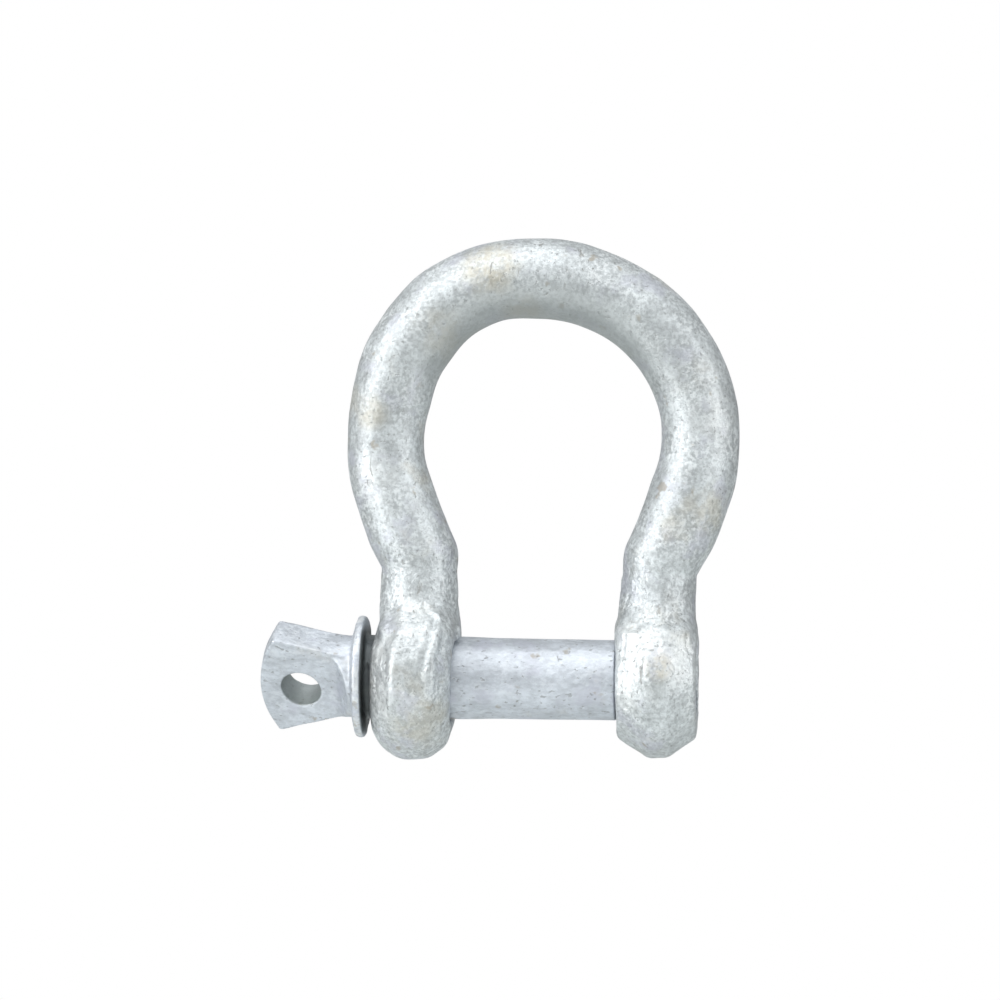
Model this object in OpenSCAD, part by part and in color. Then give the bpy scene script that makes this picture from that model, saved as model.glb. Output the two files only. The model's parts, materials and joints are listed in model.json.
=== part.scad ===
// Bow shackle, forged and hot-dip galvanised, with a captive-eye screw pin.
// X runs along the pin from its head to its threaded end, +Z runs up to the crown,
// and the origin lies on the pin's axis midway between the ears.
// Millimetres and degrees throughout.

/* [Bow] */
// Diameter of the round bar, zinc included
bar_d = 9.8; // [8:0.1:12]
// Inside width of the jaw, between the ears
jaw_w = 20; // [16:0.5:25]
// Inside length, from the top of the pin to the inside of the crown
inside_len = 40; // [32:0.5:50]
// Inside width of the bow at its widest
bow_w = 29.7; // [24:0.1:36]
// Angle below the widest point at which the crown's arc ends
crown_end = 17; // [8:1:24]
// Radius of the slack arc down each leg, to the bar's centreline
leg_r = 80; // [60:1:110]
// Radius of the bend from each leg into its neck, to the bar's centreline
kink_r = 7; // [6.5:0.1:9]

/* [Ears] */
// Thickness of each ear, along the pin
ear_t = 10.3; // [8:0.1:12.5]
// Outer diameter of each ear
ear_d = 20.2; // [17:0.1:24.5]
// Radius across the domed rim of the plain ear
dome_r = 5.4; // [5:0.1:6.5]
// Width of each bevel on the rim of the threaded ear
bevel_w = 3.6; // [2.5:0.1:3.9]
// Depth of each bevel on the rim of the threaded ear
bevel_h = 2.3; // [1:0.1:3]
// Radius of the fillets that blend each ear into its neck
blend_r = 8; // [5:0.5:10]
// Thickness of the neck where it spreads into the ear
blend_t = 9.8; // [7:0.1:9.9]

/* [Screw pin] */
// Diameter of the plain shank
pin_d = 10; // [8:0.1:12]
// Amount by which the neck, and the shoulder in the plain ear, are thicker than the shank
neck_over = 0.4; // [0.3:0.1:0.8]
// Diameter of the collar
collar_d = 15.2; // [14:0.1:18.5]
// Thickness of the collar
collar_t = 1.1; // [0.9:0.05:1.5]
// Radius of the fillet from the collar to the neck
collar_fillet = 1; // [0.6:0.1:1.2]
// Gap that is left between the collar and its ear, as drawn
collar_gap = 1; // [0.8:0.1:1.2]
// Amount by which the thread's major diameter is under the shank's
thread_under = 0.2; // [0.1:0.05:0.4]
// Pitch of the thread
thread_pitch = 1.5; // [1.25:0.05:1.8]
// Length of the thread, relief included
thread_len = 9.2; // [7:0.1:9.4]

/* [Eye] */
// Length of the eye from the collar to its tip
eye_len = 12.4; // [11:0.1:15]
// Width of the eye at its corners
eye_w = 13.8; // [12:0.1:17]
// Thickness of the flat
eye_t = 4; // [3.3:0.1:5]
// Diameter of the hole for a lanyard, wire or marlinspike
eye_hole_d = 5; // [4:0.1:6]
// Distance from the tip to the middle of the hole
eye_hole_in = 5.4; // [5:0.1:6.2]
// Turn of the flat about the pin, from upright and facing the front
eye_turn = 36; // [0:1:180]
// Lean of the flat away from the front
eye_lean = 6; // [0:1:8]
// Sag of the flat below the pin's axis, in its own plane
eye_sag = 6; // [0:1:8]

/* [Fits] */
// Clearance round the shoulder in the plain ear, on the radius
hole_play = 0.35; // [0.3:0.01:0.6]
// Clearance between the two threads, on the radius
thread_play = 0.12; // [0.1:0.01:0.15]
// Clearance between the collar and the neck, on the radius
collar_play = 0.03; // [0.02:0.01:0.05]

/* [Hidden] */
$fn = 96;

// Bow: the crown's arc, a slack arc down each leg and a short bend into each neck
bar_r = bar_d / 2;
crown_r = bow_w / 2 + bar_r;
crown_z = pin_d / 2 + inside_len + bar_r - crown_r;
neck_x = jaw_w / 2 + bar_r;
leg_cx = (crown_r - leg_r) * cos(crown_end);
leg_cz = crown_z - (crown_r - leg_r) * sin(crown_end);
leg_end = acos((neck_x + kink_r - leg_cx) / (leg_r + kink_r));
kink_cx = neck_x + kink_r;
kink_cz = leg_cz - (leg_r + kink_r) * sin(leg_end);
step = 0.05;
lap = 0.3;
function lap_angle(r) = lap / r * 180 / PI;

// Ears, from the jaw outwards
ear_r = ear_d / 2;
ear_x = (jaw_w + ear_t) / 2;
ear_out = jaw_w / 2 + ear_t;
bite = 0.25;
overrun = 1;
neck_d = pin_d + neck_over;
hole_r = neck_d / 2 + hole_play;

// Bell over each ear: its fillets are arcs that touch the ear's rim and the neck, less `bite`
bell_side = bar_r - bite + blend_r;
bell_reach = ear_r - bite + blend_r;
bell_top = sqrt(bell_reach ^ 2 - bell_side ^ 2);
bell_share = (ear_r - bite) / bell_reach;

// Thread: a 60 degree ridge on a core, with its crest an eighth of the pitch wide
thread_d = pin_d - thread_under;
ridge_h = 0.58 * thread_pitch;
core_r = thread_d / 2 - ridge_h;
crest_w = thread_pitch / 8;
relief = 0.7;
ridge_steps = 24;
fade_steps = 8;
chamfer = 0.7;
shank_end = jaw_w / 2 + 0.1;
tip_x = shank_end + thread_len;

// Collar and eye, towards -X
collar_x = -(ear_out + collar_gap);
neck_x0 = collar_x - collar_t;
rim_round = 0.35;
eye_tip = neck_x0 - eye_len;
eye_corner_in = 2.5;
eye_round = ((eye_w / 2) ^ 2 + eye_corner_in ^ 2) / (2 * eye_corner_in);
eye_root = neck_x0 - 1.3;
eye_flat = eye_root - 2.5;
eye_slope = (eye_w - neck_d) / 2 / (eye_root - (eye_tip + eye_corner_in));
eye_spread = neck_d / 2 + eye_slope * (eye_root - eye_tip);

// Length of bar bent to radius r about (cx, cz), from angle a to angle b above +X.
// Each length is a little thinner than the one above it and starts inside its end.
module bend(cx, cz, r, a, b, thinner = 0)
    translate([cx, 0, cz])
        rotate([90, 0, 0])
            rotate([0, 0, a])
                rotate_extrude(angle = b - a)
                    translate([r, 0])
                        circle(r = bar_r - thinner);

// Solid turned about the X axis from a profile of (radius, distance along X)
module turned()
    rotate([0, 90, 0])
        rotate_extrude()
            children();

// Round bar along X between two stations
module rod(r, from, to)
    translate([from, 0, 0])
        rotate([0, 90, 0])
            cylinder(r = r, h = to - from);

// Helical ridge about the X axis. It starts at `from`, and `fade` steps at each end
// sink it into its core.
module ridge(from, to, r_in, r_out, r_fade, crest, fade) {
    steps = round((to - from) / thread_pitch * ridge_steps);
    root = crest + 2 * (r_out - r_in) * tan(30);
    function tall(i) = fade == 0 ? r_out
        : r_fade + (r_out - r_fade) * min(1, i / fade, (steps - i) / fade);
    function ring(i) = [[-root / 2, r_in], [-crest / 2, tall(i)], [crest / 2, tall(i)], [root / 2, r_in]];
    points = [
        for (i = [0 : steps])
            for (p = ring(i))
                [
                    from + thread_pitch * i / ridge_steps + p[0],
                    p[1] * cos(360 * i / ridge_steps),
                    p[1] * sin(360 * i / ridge_steps)
                ]
    ];
    sides = [
        for (i = [0 : steps - 1])
            for (k = [0 : 3])
                let (a = 4 * i + k, b = 4 * i + (k + 1) % 4)
                    each [[a, b, b + 4], [a, b + 4, a + 4]]
    ];
    last = 4 * steps;
    polyhedron(points, concat([[3, 2, 1, 0]], sides, [[last, last + 1, last + 2, last + 3]]));
}

// Leg on the +X side, from the end of the crown's arc down to the bell over the ear
module leg() {
    bend(leg_cx, leg_cz, leg_r, -leg_end, lap_angle(leg_r) - crown_end, step);
    bend(kink_cx, kink_cz, kink_r, 180 - leg_end - lap_angle(kink_r), 180, 2 * step);
    translate([neck_x, 0, min(bell_top, kink_cz) - lap])
        cylinder(r = bar_r - 3 * step, h = max(kink_cz - bell_top, 0) + 2 * lap);
}

// Bell that spreads the neck into the ear: turned about the neck, then cut flat within
// the ear's two faces. It starts inside the neck and ends inside the ear.
module ear_blend()
    intersection() {
        translate([neck_x, 0, 0])
            rotate_extrude()
                difference() {
                    polygon([
                        [0, 0], [bar_r - bite, 0],
                        [bar_r - bite, bell_top * bell_share], [bell_side * bell_share, bell_top * bell_share],
                        [bar_r - bite, bell_top], [0, bell_top]
                    ]);
                    translate([bell_side, bell_top])
                        circle(r = blend_r);
                }
        translate([ear_x - blend_t / 2, -ear_r, 0])
            cube([blend_t, ear_d, bell_top + overrun]);
    }

module domed_ear()
    translate([-ear_x, 0, 0])
        turned()
            intersection() {
                translate([0, -ear_t / 2])
                    square([ear_r, ear_t]);
                union() {
                    translate([0, -ear_t / 2])
                        square([ear_r - dome_r, ear_t]);
                    translate([ear_r - dome_r, 0])
                        circle(r = dome_r);
                }
            }

module bevelled_ear()
    translate([ear_x, 0, 0])
        turned()
            polygon([
                [0, -ear_t / 2], [ear_r - bevel_h, -ear_t / 2], [ear_r, bevel_w - ear_t / 2],
                [ear_r, ear_t / 2 - bevel_w], [ear_r - bevel_h, ear_t / 2], [0, ear_t / 2]
            ]);

// Tapped hole, with a counterbore that takes the end of the shank as the pin tightens
module tapped_hole() {
    play_core = core_r + thread_play;
    rod(play_core, jaw_w / 2 - overrun, ear_out + overrun);
    rod(pin_d / 2 + hole_play, jaw_w / 2 - overrun, shank_end + collar_gap + 0.3);
    ridge(shank_end + relief - thread_pitch, ear_out + thread_pitch, play_core - 0.3,
        thread_d / 2 + thread_play, 0, crest_w + thread_play, 0);
}

module bow()
    color("gainsboro")
        difference() {
            union() {
                bend(0, crown_z, crown_r, -crown_end, 180 + crown_end);
                leg();
                mirror([1, 0, 0])
                    leg();
                ear_blend();
                mirror([1, 0, 0])
                    ear_blend();
                domed_ear();
                bevelled_ear();
            }
            rod(hole_r, -ear_out - overrun, -jaw_w / 2 + overrun);
            tapped_hole();
        }

// Outline of the eye in its own plane, with the pin's axis along X
module eye_outline()
    difference() {
        intersection() {
            translate([eye_tip + eye_round, 0])
                circle(r = eye_round);
            polygon([
                [eye_root, neck_d / 2 - bite], [eye_tip - overrun, eye_spread],
                [eye_tip - overrun, -eye_spread], [eye_root, bite - neck_d / 2]
            ]);
        }
        translate([eye_tip + eye_hole_in, 0])
            circle(d = eye_hole_d);
    }

// Flat of the eye and the ramps that lead to it from the round neck
module eye()
    translate([eye_root, 0, 0])
        rotate([eye_turn, 0, 0])
            rotate([0, -eye_sag, -eye_lean])
                translate([-eye_root, 0, 0]) {
                    rotate([90, 0, 0])
                        linear_extrude(eye_t, center = true)
                            eye_outline();
                    hull() {
                        rotate([eye_turn, 0, 0])
                            rod(neck_d / 2 - bite, eye_root, eye_root + 0.4, $fn = 32);
                        translate([eye_flat, -eye_t / 2 + 0.05, -neck_d / 2])
                            cube([0.5, eye_t - 0.1, neck_d]);
                    }
                }

module screw_pin()
    color("silver") {
        rod(neck_d / 2, eye_root, -jaw_w / 2 + 0.1);
        rod(pin_d / 2, -jaw_w / 2, shank_end);
        rod(core_r, shank_end - 0.1, tip_x - chamfer);
        translate([tip_x - chamfer, 0, 0])
            rotate([0, 90, 0])
                cylinder(r1 = core_r, r2 = core_r - chamfer, h = chamfer);
        ridge(shank_end + relief, tip_x - chamfer, core_r - 0.3, thread_d / 2, core_r - 0.1, crest_w, fade_steps);
        eye();
    }

// Collar, with its fillet onto the neck
module pin_collar()
    color("gainsboro")
        translate([collar_x, 0, 0])
            turned()
                difference() {
                    polygon([
                        [neck_d / 2 + collar_play, 0], [collar_d / 2 - rim_round, 0],
                        [collar_d / 2, -rim_round], [collar_d / 2, rim_round - collar_t],
                        [collar_d / 2 - rim_round, -collar_t], [neck_d / 2 + collar_fillet, -collar_t],
                        [neck_d / 2 + collar_play, -collar_t - collar_fillet]
                    ]);
                    translate([neck_d / 2 + collar_fillet, -collar_t - collar_fillet])
                        circle(r = collar_fillet);
                }

bow();
screw_pin();
pin_collar();
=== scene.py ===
import json
import math

import bpy
import numpy as np
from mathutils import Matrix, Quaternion, Vector


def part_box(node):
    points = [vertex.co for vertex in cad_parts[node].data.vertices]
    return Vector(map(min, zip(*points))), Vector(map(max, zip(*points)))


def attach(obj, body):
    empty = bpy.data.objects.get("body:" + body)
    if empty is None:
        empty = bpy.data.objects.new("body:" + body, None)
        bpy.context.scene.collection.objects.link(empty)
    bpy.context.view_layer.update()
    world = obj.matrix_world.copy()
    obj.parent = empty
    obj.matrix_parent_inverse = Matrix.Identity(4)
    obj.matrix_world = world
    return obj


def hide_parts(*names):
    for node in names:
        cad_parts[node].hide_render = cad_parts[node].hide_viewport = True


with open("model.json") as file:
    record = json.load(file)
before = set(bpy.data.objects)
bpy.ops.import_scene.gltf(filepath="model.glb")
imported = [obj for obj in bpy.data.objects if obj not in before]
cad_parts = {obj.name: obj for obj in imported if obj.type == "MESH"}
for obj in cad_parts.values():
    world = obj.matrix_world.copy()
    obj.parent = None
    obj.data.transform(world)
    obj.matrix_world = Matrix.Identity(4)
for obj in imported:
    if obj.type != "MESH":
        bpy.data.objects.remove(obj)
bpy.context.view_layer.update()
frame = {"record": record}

# ---------------------------------------------------------------- sizes, in millimetres
# Those that the frame holds are read from it, and the plain numbers are the ones it doesn't hold
MM = 1000.0
mounts = {m["name"]: m for m in frame["record"]["mounts"]}
bow_lo, bow_hi = (np.array(v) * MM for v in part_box("bow"))
pin_lo, pin_hi = (np.array(v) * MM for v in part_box("screw_pin"))
collar_hi = np.array(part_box("pin_collar")[1]) * MM

# Bow: inside of the crown, bar, the arc of the crown, half the jaw, ears and the plain hole
CROWN_IN = mounts["crown_seat"]["pos_m"][2] * MM
BAR_R = (bow_hi[2] - CROWN_IN) / 2
CROWN_R = bow_hi[0] - BAR_R
CROWN_Z = CROWN_IN + BAR_R - CROWN_R
JAW = mounts["pin_seat"]["dims"]["length_mm"] / 2
EAR_T = 10.3
EAR_R = bow_hi[1]
HOLE_R = 5.55
# Zinc has run to the top of the plain hole, so the hole lies a little low
HOLE_DROP = 0.3

# Pin: shank, neck, collar and the thread, with its play in the far ear
PIN_R = mounts["pin_seat"]["dims"]["r_mm"]
NECK_R = 5.2
COLLAR_R = collar_hi[1]
COLLAR_X = collar_hi[0]
COLLAR_T = 1.1
SHANK_END = JAW + 0.1
TIP_X = pin_hi[0]
PITCH = 1.5
CREST_R = 4.9
CORE_R = CREST_R - 0.58 * PITCH
THREAD_FROM = SHANK_END + 0.7
PLAY = 0.12

# Eye of the pin: its tip, hole, flat, the radius of its round end and the zinc on its faces
EYE_TIP = pin_lo[0]
EYE_HOLE_R = mounts["eye_hole"]["dims"]["r_mm"]
EYE_T = mounts["eye_hole"]["dims"]["length_mm"]
EYE_HOLE = np.array(mounts["eye_hole"]["pos_m"]) * MM
EYE_NORMAL = np.array(mounts["eye_hole"]["axis"])
EYE_END_R = 13.8
EYE_FAT = 1.07


# ---------------------------------------------------------------- fields
# A solid is a function of x, y and z that is negative inside it and grows about a
# millimetre a millimetre outwards. smin joins two, smax cuts one by another, and k is
# about how far from the edge the rounding starts.
def smin(a, b, k):
    h = np.clip(0.5 + 0.5 * (b - a) / k, 0, 1)
    return b + (a - b) * h - k * h * (1 - h)


def smax(a, b, k):
    return -smin(-a, -b, k)


def ease(t):
    t = np.clip(t, 0, 1)
    return t * t * (3 - 2 * t)


def through(value, stops):
    """A smooth curve of value through (place, height) stops in rising order."""
    out = stops[0][1] + 0 * value
    for (a, ha), (b, hb) in zip(stops, stops[1:]):
        out = out + (hb - ha) * ease((value - a) / (b - a))
    return out


def noise(p, size, seed, octaves=1):
    """Smooth noise from -1 to 1 at the rows of p, with features about `size` across."""
    total, weight = np.zeros(len(p)), 0.0
    for o in range(octaves):
        q = p / (size / 2**o) + 17.3 * (seed + o)
        cell = np.floor(q).astype(np.int64)
        t = q - cell
        t = t * t * t * (t * (t * 6 - 15) + 10)
        value = np.zeros(len(p))
        for corner in range(8):
            step = np.array([corner & 1, corner >> 1 & 1, corner >> 2 & 1])
            c = cell + step
            h = c[:, 0] * 73856093 ^ c[:, 1] * 19349663 ^ c[:, 2] * 83492791 ^ (seed + o) * 2654435761
            h = (h ^ h >> 13) * 1274126177 & 0x7FFFFFFF
            h = (h ^ h >> 16) * 668265263 & 0x7FFFFFFF
            value += (h / 0x3FFFFFFF - 1) * np.prod(np.where(step == 1, t, 1 - t), axis=1)
        total += value * 0.5**o
        weight += 0.5**o
    return total / weight


# ---------------------------------------------------------------- surface from a field
def lines(stops):
    """Grid lines through (place, spacing) stops: each spacing holds up to the next place."""
    out = []
    for (a, step), (b, _) in zip(stops, stops[1:]):
        n = max(1, round((b - a) / step))
        out.append(a + (b - a) * np.arange(n) / n)
    return np.concatenate(out + [[stops[-1][0]]])


def surface(field, xs, ys, zs):
    """Vertices and quads where the field is zero: one vertex in each cell that it crosses, moved
    onto the true surface, and one quad round each grid edge that it crosses."""
    f = field(xs[:, None, None], ys[None, :, None], zs[None, None, :])
    axes = [xs, ys, zs]
    shape = np.array(f.shape)
    n_cells = int(np.prod(shape - 1))
    stride = np.array([(shape[1] - 1) * (shape[2] - 1), shape[2] - 1, 1])
    total = np.zeros((n_cells, 3))
    count = np.zeros(n_cells)
    quads = []
    for axis in range(3):
        u, v = (axis + 1) % 3, (axis + 2) % 3
        head = [slice(None)] * 3
        tail = [slice(None)] * 3
        head[axis], tail[axis] = slice(0, -1), slice(1, None)
        a, b = f[tuple(head)], f[tuple(tail)]
        at = np.argwhere((a < 0) != (b < 0))
        at = at[(at[:, u] > 0) & (at[:, u] < shape[u] - 1) & (at[:, v] > 0) & (at[:, v] < shape[v] - 1)]
        va, vb = a[tuple(at.T)], b[tuple(at.T)]
        t = va / (va - vb)
        point = np.stack([axes[k][at[:, k]] for k in range(3)], axis=1)
        step = axes[axis][at[:, axis] + 1] - axes[axis][at[:, axis]]
        point[:, axis] += t * step
        corners = []
        for du, dv in ((1, 1), (0, 1), (0, 0), (1, 0)):
            cell = at.copy()
            cell[:, u] -= du
            cell[:, v] -= dv
            index = cell @ stride
            corners.append(index)
            for k in range(3):
                total[:, k] += np.bincount(index, point[:, k], n_cells)
            count += np.bincount(index, minlength=n_cells)
        quad = np.stack(corners, axis=1)
        inward = va > vb
        quad[inward] = quad[inward][:, ::-1]
        quads.append(quad)
    used = np.flatnonzero(count)
    verts = total[used] / count[used, None]
    place = np.zeros(n_cells, np.int64)
    place[used] = np.arange(len(used))
    return settle(field, verts), place[np.concatenate(quads)]


def slopes(field, p, h=0.02):
    """The field's gradient at points p, from differences over h millimetres."""
    g = np.empty_like(p)
    for k in range(3):
        d = np.zeros(3)
        d[k] = h
        g[:, k] = (field(*(p + d).T) - field(*(p - d).T)) / (2 * h)
    return g


def settle(field, p, rounds=3):
    """Move points p down the gradient onto the surface, in a few rounds."""
    for _ in range(rounds):
        g = slopes(field, p)
        move = -field(*p.T)[:, None] * g / np.maximum((g * g).sum(1), 0.05)[:, None]
        length = np.linalg.norm(move, axis=1, keepdims=True)
        p = p + move * np.minimum(1, 0.2 / np.maximum(length, 1e-9))
    return p


def piece(name, verts, quads, material):
    """A smooth-shaded mesh object from millimetres."""
    mesh = bpy.data.meshes.new(name)
    mesh.vertices.add(len(verts))
    mesh.vertices.foreach_set("co", (verts / MM).astype(np.float32).ravel())
    mesh.loops.add(quads.size)
    mesh.loops.foreach_set("vertex_index", quads.astype(np.int32).ravel())
    mesh.polygons.add(len(quads))
    mesh.polygons.foreach_set("loop_start", np.arange(0, quads.size, 4, dtype=np.int32))
    mesh.update(calc_edges=True)
    mesh.validate()
    mesh.polygons.foreach_set("use_smooth", np.ones(len(mesh.polygons), bool))
    mesh.materials.append(material)
    obj = bpy.data.objects.new(name, mesh)
    bpy.context.scene.collection.objects.link(obj)
    return obj


# ---------------------------------------------------------------- bow
# Each leg: how far below level the crown's arc ends, the slack arc's radius, the bend's radius
# into the neck, the neck's distance from the middle at the bend, how it leans and how far it
# spreads below, and how far the hammered crown stands off its arc at angles above level.
LEGS = {
    1: {"end": 17, "slack": 80, "kink": 6.5, "neck": JAW + BAR_R + 0.4, "lean": 0.06, "spread": 4.75,
        "off": [(-6, 0), (6, 0.1), (35, -0.1), (62, -0.15), (90, 0.05)]},
    -1: {"end": 17, "slack": 80, "kink": 4.0, "neck": JAW + BAR_R - 0.1, "lean": 0.0, "spread": 4.55,
         "off": [(-12, 0), (0, -0.15), (12, -0.2), (34, 0.4), (54, 0.72), (68, 0.62), (90, 0.05)]},
}
CROWN_SHIFT = 0.4
# The bar's radius by height, and its swells: how much, then middle and width along X and Z
BAR_STOPS = [(6, 4.64), (13, 4.66), (17, 5.05), (22, 5.05), (31, 4.8), (42, 4.95), (52, 5.04)]
SWELLS = [(0.14, -13, 6, 44, 8), (-0.2, -19, 8, 27, 6)]
# The fillet between neck and ear, and how far both stand in from the drawn ones there
BLEND_R = 8.0
SLIM = 0.25
# Flats of the ears as (x, radius) lines: the plain one's upper and lower parts, and the tapped one's
PLAIN_UPPER = [
    ((-20.6, 5), (-20.6, 6)), ((-20.6, 6.2), (-17.5, 10.0)), ((-18, 10.12), (-12, 10.12)),
    ((-12.6, 10.2), (-10.55, 7.7)), ((-10.4, 7.9), (-10.1, 4.6)),
]
PLAIN_LOWER = [
    ((-20.6, 5), (-20.6, 6)), ((-20.6, 6.4), (-19.2, 8.75)), ((-19.2, 8.75), (-16.8, 10.25)),
    ((-18, 10.2), (-12, 10.2)), ((-13.4, 10.2), (-11.2, 8.6)), ((-11.2, 8.8), (-10.35, 6.2)),
]
TAPPED = [
    ((10.25, 5), (10.25, 6)), ((10.25, 7.1), (14.2, 9.55)), ((12, 9.6), (18, 9.6)),
    ((16.6, 9.6), (20.1, 7.1)), ((20.15, 7), (20.15, 5)),
]
# A drop of zinc on the plain ear's inner face: its middle and radius, and how much taller it is
DRIP, DRIP_R, DRIP_TALL = (-JAW - 0.25, -2.2, 5.4), 0.95, 1.5
# The forging lap's line on the front of the plain ear, as (z, x)
LAP = [(0, -13.6), (2.6, -13.1), (4.3, -12.6), (7.5, -12.2), (8.7, -13.4), (10, -14.6)]


def arc(u, z, cu, cz, radius, low, high):
    """Distance to an arc in the plane of the bow, between two angles in degrees above outwards."""
    rho = np.hypot(u - cu, z - cz)
    angle = np.degrees(np.arctan2(z - cz, u - cu)) % 360
    low_w, span = low % 360, high - low
    inside = (angle - low_w) % 360 <= span
    ends = [
        np.hypot(u - cu - radius * math.cos(math.radians(t)), z - cz - radius * math.sin(math.radians(t)))
        for t in (low, high)
    ]
    return np.where(inside, np.abs(rho - radius), np.minimum(*ends))


def leg_path(u, z, side):
    """Distance to the centreline of one leg, with u measured outwards on its side."""
    leg = LEGS[side]
    shift = CROWN_SHIFT * side
    end = math.radians(leg["end"])
    cu = shift + (CROWN_R - leg["slack"]) * math.cos(end)
    cz = CROWN_Z - (CROWN_R - leg["slack"]) * math.sin(end)
    reach = leg["slack"] + leg["kink"]
    last = math.acos((leg["neck"] + leg["kink"] - cu) / reach)
    ku, kz = leg["neck"] + leg["kink"], cz - reach * math.sin(last)
    level = np.degrees(np.arctan2(z - CROWN_Z, u - shift))
    d = arc(u, z, shift, CROWN_Z, CROWN_R + through(level, leg["off"]), -leg["end"], 90)
    d = np.minimum(d, arc(u, z, cu, cz, leg["slack"], -math.degrees(last), -leg["end"]))
    d = np.minimum(d, arc(u, z, ku, kz, leg["kink"], 180 - math.degrees(last), 180))
    down = np.clip(z, 0, kz)
    neck = np.hypot(u - leg["neck"] + leg["lean"] * (kz - down), z - down)
    return np.minimum(d, neck)


def bell(x, y, z, side):
    """The neck where it spreads into its ear."""
    out = BAR_R - SLIM + BLEND_R
    top = math.sqrt((EAR_R - SLIM + BLEND_R) ** 2 - out**2)
    drop = np.clip(top - z, 0, BLEND_R * 0.8)
    radius = out - np.sqrt(BLEND_R**2 - drop**2) - 0.15
    steep = np.sqrt(1 + (drop / np.sqrt(BLEND_R**2 - drop**2)) ** 2)
    leg = LEGS[side]
    middle = leg["neck"] - leg["lean"] * 4
    d = (np.hypot(x - side * middle, y) - radius) / steep
    spread = leg["spread"] + 0.3 * ease((5.6 - z) / 3)
    d = smax(d, np.abs(x - side * middle) - spread, 1.2)
    d = smax(d, z - top, 0.4)
    return smax(d, 4 - z, 1.6)


def facets(x, rho, lines_in, soft):
    """A body of revolution about X inside straight lines, each given by two (x, radius) points
    with the solid on its right-hand side, and with corners rounded by `soft`."""
    d = None
    for (xa, ra), (xb, rb) in lines_in:
        length = math.hypot(xb - xa, rb - ra)
        side = ((rho - ra) * (xb - xa) - (x - xa) * (rb - ra)) / length
        d = side if d is None else smax(d, side, soft)
    return d


def ears(x, y, z):
    """Both ears: hammered flats before and above, and rounder at the bottom of the plain one."""
    rho = np.hypot(y, z)
    high = 0.3 * ease((z + 6) / 9) + 0.7 * ease((z - 3) / 3.5)
    upper = facets(x - high, rho, PLAIN_UPPER, 0.36)
    lower = facets(x, rho, PLAIN_LOWER, 0.5)
    plain = upper + (lower - upper) * ease((-3 - z) / 4)
    plain = smax(plain, x + JAW + 0.12, 0.4)
    plain = smax(plain, -JAW - EAR_T - 0.03 - x, 0.2)
    tapped = facets(x + 0.3 * high, rho, TAPPED, 0.45)
    return np.minimum(plain, tapped)


def ridges(x, y, z, crest_r, core_r, crest_w):
    """Radius of a helical thread about the X axis."""
    turn = np.arctan2(z, y) / (2 * math.pi)
    phase = ((x - THREAD_FROM) / PITCH - turn) % 1
    off = np.abs(((phase + 0.5) % 1) - 0.5) * PITCH
    radius = crest_r - np.maximum(0, off - crest_w / 2) / math.tan(math.radians(30))
    return np.maximum(radius, core_r)


def bow_field(x, y, z):
    """The whole bow: bar, necks, ears and the zinc drop, less the plain hole and the tapped one."""
    path = np.minimum(leg_path(x, z, 1), leg_path(-x, z, -1))
    thick = through(z + 0 * x, BAR_STOPS)
    for much, at_x, wide, at_z, tall in SWELLS:
        thick = thick + much * np.exp(-(((x - at_x) / wide) ** 2 + ((z - at_z) / tall) ** 2))
    bar = np.sqrt(path**2 + y**2) - thick
    rho = np.hypot(y, z)
    bells = np.minimum(bell(x, y, z, 1), bell(x, y, z, -1))
    d = smin(smin(bar, bells, 0.8), ears(x, y, z), 0.9)
    drip = (x - DRIP[0]) ** 2 + (y - DRIP[1]) ** 2 + ((z - DRIP[2]) / DRIP_TALL) ** 2
    d = smin(d, np.sqrt(drip) - DRIP_R, 0.7)
    hole = np.hypot(y, z + HOLE_DROP) - HOLE_R - 0.05
    d = np.where(x < 0, smax(d, -hole, 0.7), d)
    tap = (rho - ridges(x, y, z, CREST_R + PLAY, CORE_R + PLAY, PITCH / 8 + PLAY)) * 0.6
    mouth = smax(rho - PIN_R - 0.35, x - SHANK_END - 1.3, 0.2)
    return np.where(x > 0, smax(d, -np.minimum(tap, mouth), 0.25), d)


def bow_relief(p):
    """How far the zinc and the forging stand off the drawn shape: nowhere in the bores, and
    roughest on the ears."""
    low = ease((16 - p[:, 2]) / 8)
    bore = ease((np.hypot(p[:, 1], p[:, 2]) - 5.8) / 0.8)
    bore = np.where(p[:, 2] > 12, 1, bore)
    rise = 0.13 * noise(p, 9, 3) + 0.07 * noise(p, 3.2, 4, 2)
    lumps = 0.16 * np.maximum(0, noise(p, 2.6, 9, 2)) ** 1.5 * low
    creases = -0.11 * np.maximum(0, 1 - np.abs(noise(p, 3.4, 12, 2)) / 0.09) * low
    # The face that the collar comes down on stays flat
    seat = np.maximum(ease((p[:, 0] + JAW + EAR_T) / 0.5), ease((p[:, 2] - 9) / 3))
    return bore * seat * (rise + lumps + creases + lap(p))


def lap(p):
    """The lap left by the forging on the front of the plain ear: a groove with a raised lip."""
    x, y, z = p.T
    off = x - through(z, LAP)
    reach = ease((z + 0.5) / 2) * ease((10.5 - z) / 2) * ease((-y - 3) / 3)
    return reach * (0.17 * np.exp(-((off - 0.75) / 0.45) ** 2) - 0.24 * np.exp(-(off / 0.3) ** 2))


# ---------------------------------------------------------------- screw pin
# Directions along the eye, through its flat and across its width, and the drilled hole's middle,
# which strays from the mount by HOLE_U and HOLE_V
EYE_THROUGH = -EYE_NORMAL
EYE_WIDE = np.cross([1, 0, 0], EYE_THROUGH)
EYE_WIDE /= np.linalg.norm(EYE_WIDE)
EYE_ALONG = np.cross(EYE_THROUGH, EYE_WIDE)
HOLE_U, HOLE_V = 0.1, -0.4
HOLE_MID = EYE_HOLE + HOLE_U * EYE_ALONG + HOLE_V * EYE_WIDE
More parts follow.
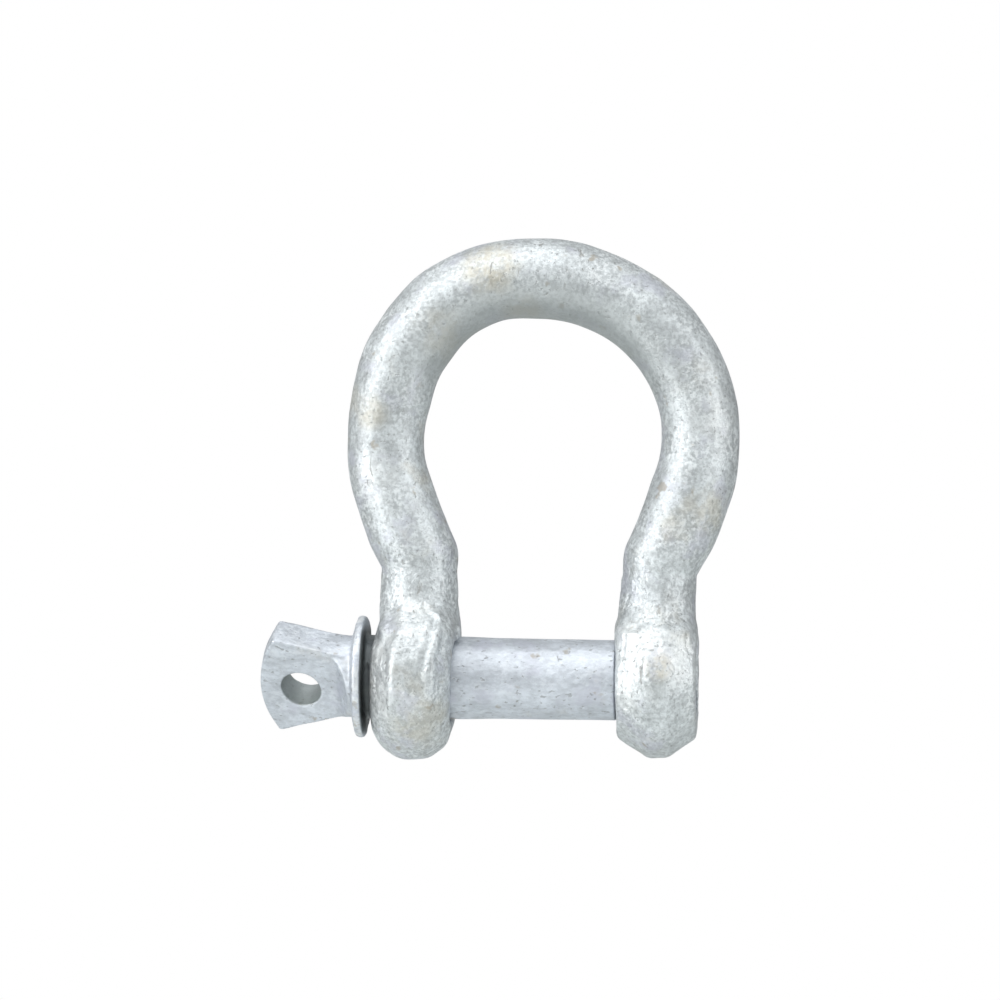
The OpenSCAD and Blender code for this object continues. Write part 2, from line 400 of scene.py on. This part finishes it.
# Where the flats begin to run out, along the eye, and how fast
RAMP_FROM, RAMP = 3.6, 0.28


def eye_frame(x, y, z):
    """Coordinates from the mount along the eye, through its flat and across its width."""
    d = [x - EYE_HOLE[0], y - EYE_HOLE[1], z - EYE_HOLE[2]]
    return [sum(d[k] * axis[k] for k in range(3)) for axis in (EYE_ALONG, EYE_THROUGH, EYE_WIDE)]


def pin_field(x, y, z):
    """The whole pin: shank and neck, thread, collar and eye."""
    rho = np.hypot(y, z)
    shank_r = through(x + 0 * y, [(-11, NECK_R), (-9.5, PIN_R + 0.16), (-4, PIN_R + 0.04), (9, PIN_R)])
    shank = smax(rho - shank_r, x - SHANK_END, 0.3)
    shank = smax(shank, COLLAR_X - 0.5 - x, 0.3)
    thread = (rho - ridges(x, y, z, CREST_R, CORE_R, PITCH / 8)) * 0.6
    thread = np.where(x < THREAD_FROM - 0.3, rho - CORE_R, thread)
    thread = smax(thread, x - TIP_X, 0.2)
    thread = smax(thread, (x - TIP_X + rho - CORE_R + 0.5) * 0.7, 0.2)
    thread = smax(thread, SHANK_END - 0.5 - x, 0.2)
    d = np.minimum(shank, thread)
    collar = smax(np.abs(x - COLLAR_X + COLLAR_T / 2) - COLLAR_T / 2, rho - COLLAR_R, 0.5)
    d = smin(d, collar, np.where(x < COLLAR_X - COLLAR_T / 2, 2.4, 0.5))
    return smin(d, eye_field(x, y, z), 0.5)


def eye_field(x, y, z):
    """The eye: a tapering plate with a round end, whose flats run out in a ramp on the round neck."""
    u, through_flat, v = eye_frame(x, y, z)
    thick = np.abs(through_flat / EYE_FAT)
    tip = EYE_TIP - EYE_HOLE[0] + 0.3
    root = COLLAR_X - COLLAR_T - EYE_HOLE[0] - 1.5
    off = v - 0.1 - 0.1 * u
    half = 4.76 + 0.285 * (root - u)
    end = np.hypot(u - tip - EYE_END_R, off) - EYE_END_R + 0.1 * thick
    plate = smax(end, (np.abs(off) - half) * 0.97, 0.4)
    plate = smax(plate, thick - EYE_T / 2, 0.2)
    plate = smax(plate, u - root - 0.4, 0.4)
    rho = np.hypot(y, z)
    run = np.maximum(u - RAMP_FROM, 0)
    ramp = (thick - EYE_T / 2 - RAMP * run**2) / np.sqrt(1 + (2 * RAMP * run) ** 2)
    stub = smax(smax(rho - NECK_R + 0.1, ramp, 0.35), x - COLLAR_X, 0.3)
    stub = smax(stub, -u - 1.5, 0.3)
    d = smin(plate, stub, 0.4)
    return smax(d, EYE_HOLE_R - np.hypot(u - HOLE_U, v - HOLE_V), 0.35)


def pin_relief(p):
    """The pin's zinc: uneven on the head, worn at the collar's rim and nearly smooth on the shank."""
    head = ease((-9.5 - p[:, 0]) / 1.5)
    body = head * (0.07 * noise(p, 5, 21) + 0.035 * noise(p, 1.8, 22, 2))
    edge = 0.07 * noise(p, 1.1, 24, 2) * ease((np.hypot(p[:, 1], p[:, 2]) - COLLAR_R + 0.8) / 0.6)
    return body + head * edge + (1 - head) * 0.02 * noise(p * [0.3, 1, 1], 1.6, 23, 2)


# ---------------------------------------------------------------- material
class Nodes:
    """Short calls for the nodes of one material. Values go straight in, sockets are linked."""

    def __init__(self, name):
        self.material = bpy.data.materials.new(name)
        self.material.use_nodes = True
        self.tree = self.material.node_tree
        self.tree.nodes.clear()

    def add(self, kind, inputs, **settings):
        node = self.tree.nodes.new("ShaderNode" + kind)
        for key, value in settings.items():
            setattr(node, key, value)
        for key, value in inputs.items():
            if isinstance(value, bpy.types.NodeSocket):
                self.tree.links.new(value, node.inputs[key])
            else:
                node.inputs[key].default_value = value
        return node

    def noise(self, where, scale, detail=4, rough=0.55, warp=0.0):
        inputs = {"Vector": where, "Scale": scale, "Detail": detail, "Roughness": rough, "Distortion": warp}
        return self.add("TexNoise", inputs).outputs["Fac"]

    def place(self, where, scale, shift=(0, 0, 0)):
        return self.add("Mapping", {"Vector": where, "Scale": scale, "Location": shift}).outputs[0]

    def fade(self, value, low, high, a=0.0, b=1.0):
        inputs = {"Value": value, "From Min": low, "From Max": high, "To Min": a, "To Max": b}
        return self.add("MapRange", inputs, interpolation_type="SMOOTHSTEP").outputs[0]

    def calc(self, operation, a, b):
        return self.add("Math", {0: a, 1: b}, operation=operation).outputs[0]

    def near(self, where, places, blotch):
        """How far a point lies in any of the patches, broken up by `blotch`."""
        most = 0.0
        for middle, radius, strength in places:
            inputs = {0: where, 1: [c / MM for c in middle]}
            away = self.add("VectorMath", inputs, operation="DISTANCE").outputs["Value"]
            inside = self.fade(away, radius * 1.4 / MM, radius * 0.4 / MM, 0, strength)
            most = self.calc("MAXIMUM", self.calc("MULTIPLY", inside, blotch), most)
        return most

    def mix(self, factor, a, b, blend="MIX"):
        node = self.tree.nodes.new("ShaderNodeMix")
        node.data_type = "RGBA"
        node.blend_type = blend
        for key, value in ((0, factor), (6, a), (7, b)):
            if isinstance(value, bpy.types.NodeSocket):
                self.tree.links.new(value, node.inputs[key])
            else:
                node.inputs[key].default_value = value
        return node.outputs[2]


def grey(v):
    return (v, v, v, 1)


# Tan and brown patches on the bow: middle in millimetres, radius, and how strong
BROWN = [
    ((-6, -4, 51), 3.6, 0.75), ((-12.5, -2, 43.5), 3.6, 0.7), ((-2, -2.5, 45.8), 2.6, 0.7),
    ((-20.5, -4, 33), 2.2, 0.5), ((22, -4, 21), 3.0, 0.4), ((15.5, -9.5, 2.2), 1.8, 0.7),
    ((19, -2, 38), 3.0, 0.4), ((-16, 5, 46), 5, 0.5), ((12, 5, 49), 5, 0.5), ((-14.5, -8, -6), 3, 0.4),
]
# Fresh bright zinc on the bow's ears and legs, and duller patches on the ears, in the same form
BRIGHT = [
    ((-19.6, -8, 2.5), 3.6, 0.75), ((-19.4, -8.2, -2.5), 2.8, 0.6), ((-15, -8, 8.5), 3.2, 0.5),
    ((13, -8, 4.5), 4.2, 0.65), ((17.5, -8, 3.5), 3.6, 0.65), ((11.5, -7, -1), 2.6, 0.55),
    ((-19.8, -3.5, 25), 3.0, 0.4), ((21.5, -3.5, 33), 3.0, 0.4),
]
DULL = [((15.2, -10, -0.8), 2.3, 0.75), ((-14.6, -10, 1), 2.2, 0.55), ((-14.8, -9.5, -4.5), 2.6, 0.4)]
FROSTED = (0.93, 0.95, 0.96, 1)


def bow_painted_shade(n, here, base):
    """The bow's zinc, with painted shade on the downward-facing inside of the crown."""
    up = n.add("SeparateXYZ", {0: n.add("TexCoord", {}).outputs["Normal"]}).outputs[2]
    high = n.add("SeparateXYZ", {0: here}).outputs[2]
    # Painted shade: crown surfaces that face down are darkened towards a dull grey
    underside_shade = n.calc("MULTIPLY", n.fade(up, 0.35, -0.75), n.fade(high, 0.028, 0.042))
    return n.mix(n.calc("MULTIPLY", underside_shade, 0.72), base, (0.35, 0.37, 0.37, 1))


def pin_wear_and_shade(n, here, base):
    """The pin's zinc, with painted shadow on the collar's face towards the ear and painted shade in the
    eye's hole, and a worn, grimy rim.
    """
    along = n.add("SeparateXYZ", {0: here}).outputs[0]
    tall = n.add("SeparateXYZ", {0: here}).outputs[2]
    # Painted shadow: the collar's face towards the ear, and the shank just past it, darkened nearly to
    # black where the ear shades the gap
    collar_gap_shadow = n.fade(along, (COLLAR_X - 0.25) / MM, (COLLAR_X - 0.05) / MM)
    collar_gap_shadow = n.calc("MULTIPLY", collar_gap_shadow, n.fade(along, (COLLAR_X + 2) / MM, (COLLAR_X + 1) / MM))
    collar_gap_shadow = n.calc("MULTIPLY", collar_gap_shadow, n.fade(tall, 6.9 / MM, 5.4 / MM, 0.25, 1))
    collar_gap_shadow = n.calc("MULTIPLY", collar_gap_shadow, n.fade(tall, -7.5 / MM, -6.6 / MM, 0.25, 1))
    base = n.mix(n.calc("MULTIPLY", collar_gap_shadow, 0.9), base, (0.06, 0.07, 0.07, 1))
    apart = {0: here, 1: [c / MM for c in HOLE_MID]}
    apart = n.add("VectorMath", apart, operation="SUBTRACT").outputs[0]
    apart = n.add("VectorMath", {0: apart, 1: list(EYE_NORMAL)}, operation="CROSS_PRODUCT").outputs[0]
    apart = n.add("VectorMath", {0: apart}, operation="LENGTH").outputs["Value"]
    # Painted shade: the wall of the eye's hole is darkened to a dark green-grey
    eye_hole_shade = n.fade(apart, (EYE_HOLE_R + 0.2) / MM, (EYE_HOLE_R + 0.02) / MM)
    base = n.mix(n.calc("MULTIPLY", eye_hole_shade, 0.65), base, (0.32, 0.36, 0.33, 1))
    rim = n.fade(along, (COLLAR_X - COLLAR_T) / MM, (COLLAR_X - COLLAR_T + 0.2) / MM)
    rim = n.calc("MULTIPLY", rim, n.fade(along, (COLLAR_X - 0.15) / MM, (COLLAR_X - 0.3) / MM))
    worn = n.fade(n.noise(here, 520, 4, 0.65), 0.42, 0.58, 0.6, 0.0)
    base = n.mix(n.calc("MULTIPLY", rim, worn), base, FROSTED)
    grime = n.fade(n.noise(here, 700, 4, 0.7), 0.47, 0.6, 0, 0.55)
    grime = n.calc("MULTIPLY", grime, n.fade(tall, 0.001, -0.004))
    return n.mix(n.calc("MULTIPLY", rim, grime), base, (0.42, 0.38, 0.33, 1))


def zinc(name, tint, grain, cloudy, crinkle, stretch, marks_and_shade, bright=(), dull=(), brown=()):
    """Hot-dip galvanised zinc: cloudy grey, frosty flecks, pits, short scratches and tan stains,
    then the patches listed and the piece's own painted shade and, on the pin, its worn, grimy rim."""
    n = Nodes(name)
    here = n.add("TexCoord", {}).outputs["Object"]
    run = n.place(here, stretch)
    clouds = n.noise(here, 130, 6, 0.62, 0.4)
    mottle = n.noise(run, grain, 7, 0.7)
    flecks = n.noise(run, grain * 3.2, 3, 0.65)
    frosty = n.fade(n.noise(here, 190, 3), 0.4, 0.62)
    frost = n.calc("MULTIPLY", n.fade(flecks, 0.5, 0.6), frosty)
    dark_tint = [c * 0.86 for c in tint] + [1]
    pale_tint = [c * 1.04 for c in tint] + [1]
    base = n.mix(n.fade(clouds, 0.34, 0.66), dark_tint, pale_tint)
    mottled = n.mix(n.fade(mottle, 0.34, 0.66), grey(1 - cloudy), grey(1.03))
    base = n.mix(1.0, base, mottled, "MULTIPLY")
    flecked = n.mix(n.fade(flecks, 0.36, 0.6), grey(1 - cloudy * 1.15), grey(1.03))
    base = n.mix(1.0, base, flecked, "MULTIPLY")
    base = n.mix(n.calc("MULTIPLY", frost, cloudy * 2.2), base, FROSTED)
    lilac = n.fade(n.noise(n.place(here, (1, 1, 1), (3, 1, 2)), 210, 3), 0.54, 0.68, 0, 0.45)
    base = n.mix(lilac, base, (0.57, 0.58, 0.67, 1))
    blotch = n.fade(n.noise(here, 480, 5, 0.65), 0.3, 0.62)
    base = n.mix(n.near(here, bright, blotch), base, (0.95, 0.97, 0.97, 1))
    base = n.mix(n.near(here, dull, blotch), base, (0.5, 0.53, 0.53, 1))
    tan = n.fade(n.noise(n.place(here, (1, 1, 1), (7, 5, 9)), 105, 5, 0.6), 0.56, 0.72, 0, 0.35)
    tan = n.calc("MAXIMUM", tan, n.near(here, brown, blotch))
    base = n.mix(tan, base, (0.58, 0.53, 0.42, 1))
    spot = n.fade(n.noise(n.place(here, (1, 1, 1), (1, 8, 4)), 430, 3, 0.5), 0.66, 0.74, 0, 0.6)
    base = n.mix(spot, base, (0.36, 0.31, 0.24, 1))
    pits = n.fade(n.noise(run, grain * 3.6, 2, 0.5), 0.36, 0.29)
    base = n.mix(n.calc("MULTIPLY", pits, 0.5), base, (0.22, 0.22, 0.22, 1))
    scratch = n.noise(n.place(here, (2.6, 2.6, 0.55), (4, 4, 1)), 330, 3, 0.6, 0.7)
    line = n.calc("MULTIPLY", n.fade(scratch, 0.33, 0.27), n.fade(n.noise(here, 110, 3), 0.46, 0.56))
    base = n.mix(n.calc("MULTIPLY", line, 0.6), base, (0.27, 0.26, 0.24, 1))
    # Each piece adds its painted shade here, and the pin also its worn, grimy rim
    base = marks_and_shade(n, here, base)
    rough = n.calc("ADD", n.fade(mottle, 0.3, 0.7, 0.35, 0.5), n.calc("MULTIPLY", frost, 0.12))
    height = n.calc("ADD", n.calc("MULTIPLY", mottle, 0.6), n.calc("MULTIPLY", flecks, 0.3))
    height = n.calc("SUBTRACT", height, n.calc("MULTIPLY", n.calc("MAXIMUM", pits, line), 0.35))
    folds = n.calc("SUBTRACT", n.noise(here, 460, 3, 0.6, 0.5), 0.5)
    folds = n.fade(n.calc("ABSOLUTE", folds, 0), 0.0, 0.12)
    low = n.fade(n.add("SeparateXYZ", {0: here}).outputs[2], 0.021, 0.012, 0.15, 1)
    height = n.calc("ADD", height, n.calc("MULTIPLY", n.calc("MULTIPLY", folds, low), crinkle))
    bump = n.add("Bump", {"Height": height, "Strength": 0.55, "Distance": 0.0003})
    inputs = {"Base Color": base, "Metallic": 0.7, "Roughness": rough, "Normal": bump.outputs[0]}
    shader = n.add("BsdfPrincipled", inputs)
    n.add("OutputMaterial", {"Surface": shader.outputs[0]})
    return n.material


# ---------------------------------------------------------------- make the pieces
bow_zinc = zinc(
    "bow_zinc", (0.75, 0.79, 0.81), 640, 0.2, 0.25, (1, 1, 1), bow_painted_shade, BRIGHT, DULL, BROWN
)
pin_zinc = zinc("pin_zinc", (0.68, 0.72, 0.78), 560, 0.09, 0.05, (0.6, 1, 1), pin_wear_and_shade)


def build(name, field, relief, grid, material, body, nodes):
    """Mesh the field, push its vertices out by the relief, and bind the piece to the frame."""
    verts, quads = surface(field, *grid)
    normal = slopes(field, verts)
    normal /= np.linalg.norm(normal, axis=1, keepdims=True)
    verts = verts + normal * relief(verts)[:, None]
    obj = piece(name, verts, quads, material)
    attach(obj, body)
    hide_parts(*nodes)
    print(name, len(verts), "vertices", len(quads), "quads", flush=True)
    return obj


# Grid spacing for the bow, for its threaded ear along X, and for the pin
COARSE, EAR_STEP, FINE = 0.34, 0.17, 0.18
ear_from, ear_to = JAW - 0.6, JAW + EAR_T + 0.6
bow_grid = (
    lines([(bow_lo[0] - 1, COARSE), (ear_from, EAR_STEP), (ear_to, COARSE), (bow_hi[0] + 1, COARSE)]),
    lines([(bow_lo[1] - 1, COARSE), (bow_hi[1] + 1, COARSE)]),
    lines([(bow_lo[2] - 1, COARSE), (bow_hi[2] + 1, COARSE)]),
)
pin_grid = (
    lines([(pin_lo[0] - 0.6, FINE), (pin_hi[0] + 0.6, FINE)]),
    lines([(-COLLAR_R - 0.6, FINE), (COLLAR_R + 0.6, FINE)]),
    lines([(-COLLAR_R - 0.6, FINE), (COLLAR_R + 0.6, FINE)]),
)
build("bow_forging", bow_field, bow_relief, bow_grid, bow_zinc, "bow", ["bow"])
pin_nodes = ["screw_pin", "pin_collar"]
build("screw_pin_forging", pin_field, pin_relief, pin_grid, pin_zinc, "pin", pin_nodes)


# ---------------------------------------------------------------- stage, light and camera
# Soft lights: name, width and height, place, what it aims at, and power
LIGHTS = [
    ("key", (0.8, 0.5), (-0.25, -0.4, 0.5), (0, 0, 0.02), 1.15),
    ("above", (0.5, 0.35), (-0.05, -0.12, 0.65), (0, 0, 0.02), 0.8),
    ("side", (0.25, 0.6), (0.6, -0.3, 0.15), (0, 0, 0.02), 1.0),
    ("fill", (0.25, 0.6), (-0.55, -0.32, 0.1), (0, 0, 0.02), 1.5),
    ("bounce", (0.8, 0.3), (0, -0.25, -0.22), (0, 0, 0), 0.28),
]
# The floor's half width in metres, and how far it lies below the bow in millimetres
FLOOR_REACH, FLOOR_DROP = 3.0, 250
# Angles in degrees, lengths in metres
AZIMUTH, ELEVATION, ROLL = 4.6, 0.0, 0.7
DISTANCE = 0.5
TARGET = Vector((-0.0048, 0, 0.0223))


def soft_light(name, size, where, aim, power):
    light = bpy.data.lights.new(name, "AREA")
    light.shape = "RECTANGLE"
    light.size, light.size_y = size
    light.energy = power
    obj = bpy.data.objects.new(name, light)
    obj.location = where
    obj.rotation_euler = (Vector(aim) - Vector(where)).to_track_quat("-Z", "Y").to_euler()
    bpy.context.scene.collection.objects.link(obj)


def seen_white(tree, others):
    """White to the camera, and `others` to every other ray, so that the backdrop leaves no edge."""
    path = tree.nodes.new("ShaderNodeLightPath")
    kind = "Background" if others.node.type == "BACKGROUND" else "Emission"
    white = tree.nodes.new("ShaderNode" + kind)
    white.inputs["Color"].default_value = (1, 1, 1, 1)
    mixer = tree.nodes.new("ShaderNodeMixShader")
    tree.links.new(path.outputs["Is Camera Ray"], mixer.inputs[0])
    tree.links.new(others, mixer.inputs[1])
    tree.links.new(white.outputs[0], mixer.inputs[2])
    return mixer.outputs[0]


def pale_floor():
    """A wide pale floor, which only throws light up at the shackle."""
    z = (bow_lo[2] - FLOOR_DROP) / MM
    corners = [(-FLOOR_REACH, -FLOOR_REACH, z), (FLOOR_REACH, -FLOOR_REACH, z)]
    corners += [(FLOOR_REACH, FLOOR_REACH, z), (-FLOOR_REACH, FLOOR_REACH, z)]
    mesh = bpy.data.meshes.new("floor")
    mesh.from_pydata(corners, [], [(0, 1, 2, 3)])
    material = bpy.data.materials.new("pale_floor")
    material.use_nodes = True
    tree = material.node_tree
    shader = tree.nodes["Principled BSDF"]
    shader.inputs["Base Color"].default_value = (0.72, 0.74, 0.73, 1)
    shader.inputs["Roughness"].default_value = 0.9
    pale = seen_white(tree, shader.outputs[0])
    tree.links.new(pale, tree.nodes["Material Output"].inputs["Surface"])
    mesh.materials.append(material)
    obj = bpy.data.objects.new("floor", mesh)
    bpy.context.scene.collection.objects.link(obj)
    return obj


def studio():
    """A soft dome, bright above and before the shackle and dim behind and below it."""
    world = bpy.data.worlds.new("studio")
    world.use_nodes = True
    tree = world.node_tree
    sky = tree.nodes["Background"]
    sky.inputs["Color"].default_value = (0.97, 1, 1, 1)
    where = tree.nodes.new("ShaderNodeTexCoord")
    dot = tree.nodes.new("ShaderNodeVectorMath")
    dot.operation = "DOT_PRODUCT"
    dot.inputs[1].default_value = Vector((-0.2, -0.35, 0.9)).normalized()
    tree.links.new(where.outputs["Generated"], dot.inputs[0])
    ramp = tree.nodes.new("ShaderNodeMapRange")
    for key, value in (("From Min", -0.7), ("From Max", 1.0), ("To Min", 0.22), ("To Max", 0.82)):
        ramp.inputs[key].default_value = value
    tree.links.new(dot.outputs["Value"], ramp.inputs["Value"])
    tree.links.new(ramp.outputs[0], sky.inputs["Strength"])
    tree.links.new(seen_white(tree, sky.outputs[0]), tree.nodes["World Output"].inputs["Surface"])
    return world


def camera():
    """A long lens a little to the right of the front, rolled as the photograph is."""
    lens = bpy.data.cameras.new("camera")
    lens.sensor_width = 36
    lens.lens = 144
    lens.clip_start, lens.clip_end = 0.01, 20
    around, above = math.radians(AZIMUTH), math.radians(ELEVATION)
    level = math.cos(above)
    back = Vector((math.sin(around) * level, -math.cos(around) * level, math.sin(above)))
    obj = bpy.data.objects.new("camera", lens)
    obj.location = TARGET + back * DISTANCE
    obj.rotation_mode = "QUATERNION"
    facing = (-back).to_track_quat("-Z", "Y")
    obj.rotation_quaternion = facing @ Quaternion((0, 0, 1), math.radians(ROLL))
    bpy.context.scene.collection.objects.link(obj)
    return obj


floor = pale_floor()
bpy.context.scene.world = studio()
bpy.context.scene.view_settings.view_transform = "Standard"
for light in LIGHTS:
    soft_light(*light)
bpy.context.scene.camera = camera()
